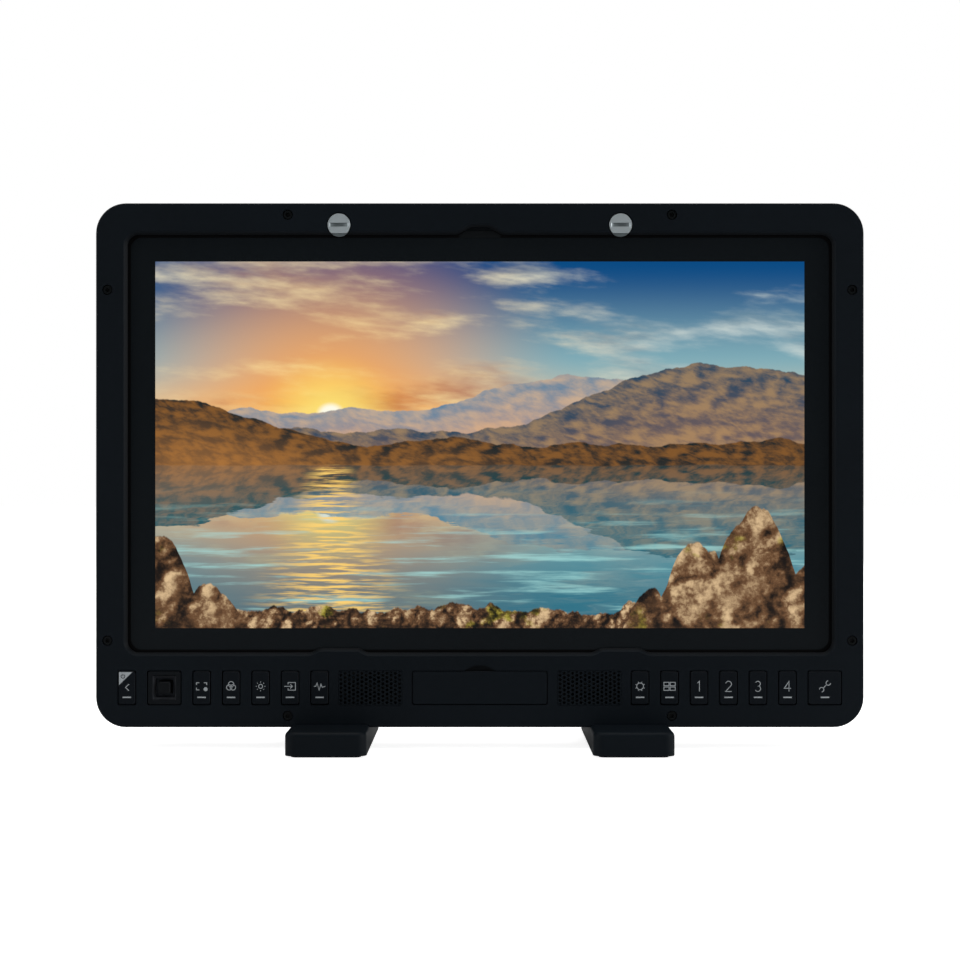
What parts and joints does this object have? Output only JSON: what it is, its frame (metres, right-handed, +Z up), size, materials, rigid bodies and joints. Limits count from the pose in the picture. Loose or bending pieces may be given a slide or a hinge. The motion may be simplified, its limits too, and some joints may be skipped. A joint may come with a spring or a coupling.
{
  "type": "production monitor",
  "caption": "Desk-standing film production monitor with a recessed bonded screen, a row of flush keys with a joystick, speaker grilles, slotted half-turn locks and slab feet.",
  "frame": {"origin": "on the table, under the middle of the footprint of the feet", "axes": "+X to the viewer's right, +Y from the screen to the back, +Z up"},
  "size_m": [0.345, 0.096, 0.2455],
  "materials": {
    "black_anodised": "fine bead-blasted black anodising",
    "key_plastic": "matt black",
    "inner_plastic": "black moulded",
    "black_steel": "black oxide",
    "plain_steel": "zinc plated",
    "bright_steel": "fine turned",
    "nickel": "nickel plated",
    "black_rubber": "matt",
    "cover_glass": "black printed border, bonded to the panel",
    "panel_glass": "dark",
    "tray_metal": "white tray",
    "board": "green lacquer",
    "sink_metal": "extruded",
    "cable": "film"
  },
  "bodies": {
    "chassis": {"front_frame": "black_anodised", "rear_housing": "black_anodised", "frame_screws": "black_steel", "glass_gasket": "black_rubber", "cover_glass": "cover_glass", "picture_panel": "panel_glass", "backlight_unit": "tray_metal", "panel_brackets": "plain_steel", "bracket_screws": "plain_steel", "key_board_left": "board", "key_board_right": "board", "key_switches": "inner_plastic", "key_board_screws": "plain_steel", "joystick_bezel": "key_plastic", "joystick_base": "inner_plastic", "speaker_grille_left": "black_anodised", "speaker_grille_right": "black_anodised", "speaker_driver_left": "inner_plastic", "speaker_driver_right": "inner_plastic", "plate_magnets": "nickel", "main_board": "board", "driver_board": "board", "board_screws": "plain_steel", "heat_sink": "sink_metal", "fan_frame": "inner_plastic", "fan_screws": "black_steel", "connector_plate": "black_anodised", "video_sockets": "nickel", "link_sockets": "plain_steel", "data_socket": "plain_steel", "phones_socket": "nickel", "power_socket": "nickel", "display_cable": "cable", "key_cables": "cable", "foot_left": "black_anodised", "foot_right": "black_anodised", "foot_pads": "black_rubber", "foot_screws": "black_steel"},
    "left_lock": {"lock_left": "bright_steel", "lock_clip_left": "plain_steel"},
    "right_lock": {"lock_right": "bright_steel", "lock_clip_right": "plain_steel"},
    "stick_rocker": {"joystick_rocker": "inner_plastic"},
    "stick_stem": {"joystick_stem": "inner_plastic"},
    "stick_cap": {"joystick_cap": "key_plastic"},
    "lift_plate": {"center_plate": "black_anodised"},
    "fan_wheel": {"fan_rotor": "inner_plastic"},
    "scope_key": {"key_scope": "key_plastic"},
    "input_key": {"key_input": "key_plastic"},
    "backlight_key": {"key_backlight": "key_plastic"},
    "color_key": {"key_color": "key_plastic"},
    "capture_key": {"key_capture": "key_plastic"},
    "settings_key": {"key_settings": "key_plastic"},
    "multi_view_key": {"key_multi_view": "key_plastic"},
    "preset_1_key": {"key_preset_1": "key_plastic"},
    "preset_2_key": {"key_preset_2": "key_plastic"},
    "preset_3_key": {"key_preset_3": "key_plastic"},
    "preset_4_key": {"key_preset_4": "key_plastic"},
    "back_key": {"key_back": "key_plastic"},
    "tools_key": {"key_tools": "key_plastic"}
  },
  "joints": [
    {"name": "press_scope_key", "type": "slide", "parent": "chassis", "child": "scope_key", "axis": [0, 1, 0], "range_m": [0, 0.0005], "stiffness_N_per_m": 3000},
    {"name": "press_input_key", "type": "slide", "parent": "chassis", "child": "input_key", "axis": [0, 1, 0], "range_m": [0, 0.0005], "stiffness_N_per_m": 3000},
    {"name": "press_backlight_key", "type": "slide", "parent": "chassis", "child": "backlight_key", "axis": [0, 1, 0], "range_m": [0, 0.0005], "stiffness_N_per_m": 3000},
    {"name": "press_color_key", "type": "slide", "parent": "chassis", "child": "color_key", "axis": [0, 1, 0], "range_m": [0, 0.0005], "stiffness_N_per_m": 3000},
    {"name": "press_capture_key", "type": "slide", "parent": "chassis", "child": "capture_key", "axis": [0, 1, 0], "range_m": [0, 0.0005], "stiffness_N_per_m": 3000},
    {"name": "press_settings_key", "type": "slide", "parent": "chassis", "child": "settings_key", "axis": [0, 1, 0], "range_m": [0, 0.0005], "stiffness_N_per_m": 3000},
    {"name": "press_multi_view_key", "type": "slide", "parent": "chassis", "child": "multi_view_key", "axis": [0, 1, 0], "range_m": [0, 0.0005], "stiffness_N_per_m": 3000},
    {"name": "press_preset_1_key", "type": "slide", "parent": "chassis", "child": "preset_1_key", "axis": [0, 1, 0], "range_m": [0, 0.0005], "stiffness_N_per_m": 3000},
    {"name": "press_preset_2_key", "type": "slide", "parent": "chassis", "child": "preset_2_key", "axis": [0, 1, 0], "range_m": [0, 0.0005], "stiffness_N_per_m": 3000},
    {"name": "press_preset_3_key", "type": "slide", "parent": "chassis", "child": "preset_3_key", "axis": [0, 1, 0], "range_m": [0, 0.0005], "stiffness_N_per_m": 3000},
    {"name": "press_preset_4_key", "type": "slide", "parent": "chassis", "child": "preset_4_key", "axis": [0, 1, 0], "range_m": [0, 0.0005], "stiffness_N_per_m": 3000},
    {"name": "press_back_key", "type": "slide", "parent": "chassis", "child": "back_key", "axis": [0, 1, 0], "range_m": [0, 0.0005], "stiffness_N_per_m": 3000},
    {"name": "press_tools_key", "type": "slide", "parent": "chassis", "child": "tools_key", "axis": [0, 1, 0], "range_m": [0, 0.0005], "stiffness_N_per_m": 3000},
    {"name": "stick_up_down", "type": "hinge", "parent": "chassis", "child": "stick_rocker", "pos_m": [-0.14171, -0.01433, 0.02775], "axis": [1, 0, 0], "range_deg": [-6, 6], "stiffness_Nm_per_rad": 0.06},
    {"name": "stick_left_right", "type": "hinge", "parent": "stick_rocker", "child": "stick_stem", "pos_m": [-0.14171, -0.01433, 0.02775], "axis": [0, 0, 1], "range_deg": [-6, 6], "stiffness_Nm_per_rad": 0.06},
    {"name": "stick_press", "type": "slide", "parent": "stick_stem", "child": "stick_cap", "axis": [0, 1, 0], "range_m": [0, 0.0004], "stiffness_N_per_m": 3000},
    {"name": "left_lock_turn", "type": "hinge", "parent": "chassis", "child": "left_lock", "pos_m": [-0.0633, -0.022, 0.2358], "axis": [0, 1, 0], "range_deg": [0, 180]},
    {"name": "right_lock_turn", "type": "hinge", "parent": "chassis", "child": "right_lock", "pos_m": [0.0633, -0.022, 0.2358], "axis": [0, 1, 0], "range_deg": [0, 180]},
    {"name": "plate_lift_out", "type": "slide", "parent": "chassis", "child": "lift_plate", "axis": [0, -1, 0], "range_m": [0, 0.012]},
    {"name": "fan_spin", "type": "hinge", "parent": "chassis", "child": "fan_wheel", "pos_m": [0.1071, 0.005, 0.16175], "axis": [0, 1, 0], "continuous": true}
  ]
}
